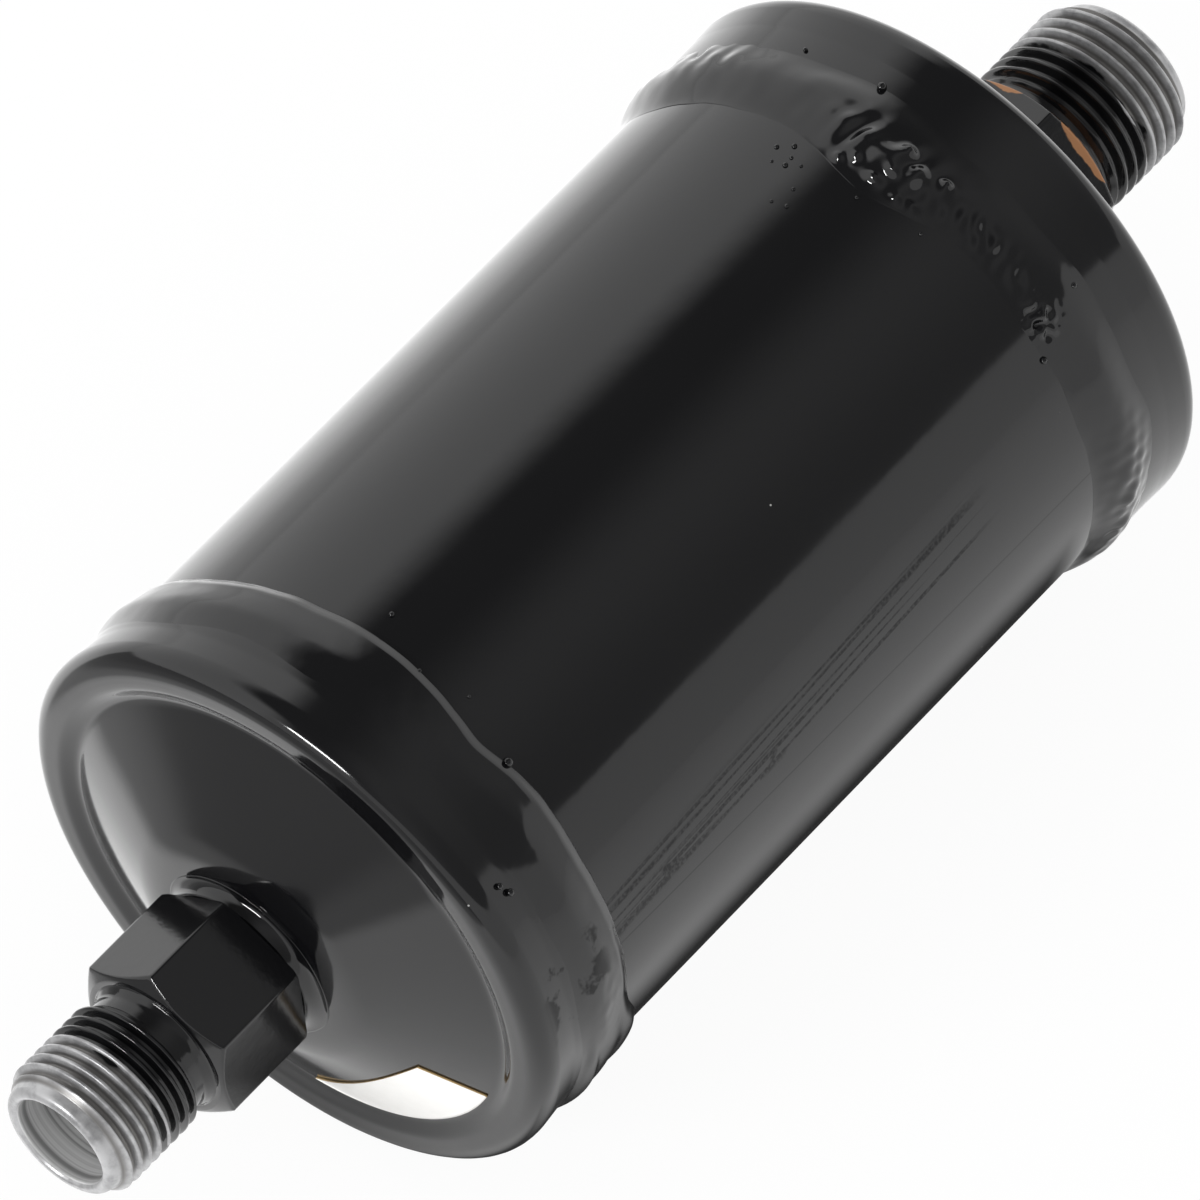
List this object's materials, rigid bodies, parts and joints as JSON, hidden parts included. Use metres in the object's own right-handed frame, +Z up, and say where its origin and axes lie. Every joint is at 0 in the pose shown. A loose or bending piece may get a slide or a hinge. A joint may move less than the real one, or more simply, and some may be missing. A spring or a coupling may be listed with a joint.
{
  "type": "filter drier",
  "caption": "Cylindrical in-line refrigerant filter drier with drawn end caps, hand-welded seams and threaded male fittings.",
  "frame": {"origin": "on the surface it lies on, below the middle of its overall length", "axes": "+X along the drier's axis towards the smaller, outlet fitting; +Z up"},
  "size_m": [0.1704, 0.067, 0.0671],
  "materials": {
    "gloss_black_paint": "gloss black enamel",
    "painted_weld": "gloss black enamel over a hand-run weld",
    "bare_steel": "turned steel, black enamel on the hexagon and the inner threads",
    "copper_braze": "copper braze, partly under black enamel",
    "label_film": "blank white paper label, satin",
    "plated_steel": "zinc plated pressed steel",
    "spring_steel": "oiled spring steel",
    "wire_mesh": "woven stainless wire",
    "fibre_pad": "pressed glass-fibre felt",
    "desiccant": "packed molecular-sieve beads"
  },
  "bodies": {
    "root": {"shell": "gloss_black_paint", "outlet_cap": "gloss_black_paint", "inlet_cap": "gloss_black_paint", "outlet_weld": "painted_weld", "inlet_weld": "painted_weld", "outlet_fitting": "bare_steel", "inlet_fitting": "bare_steel", "outlet_braze": "gloss_black_paint", "inlet_braze": "copper_braze", "label": "label_film", "spring_seat": "plated_steel", "spring": "spring_steel", "pressure_plate": "plated_steel", "inlet_screen": "wire_mesh", "inlet_pad": "fibre_pad", "desiccant_bed": "desiccant", "outlet_pad": "fibre_pad", "outlet_screen": "wire_mesh", "outlet_plate": "plated_steel", "outlet_spacer": "plated_steel"}
  },
  "joints": []
}
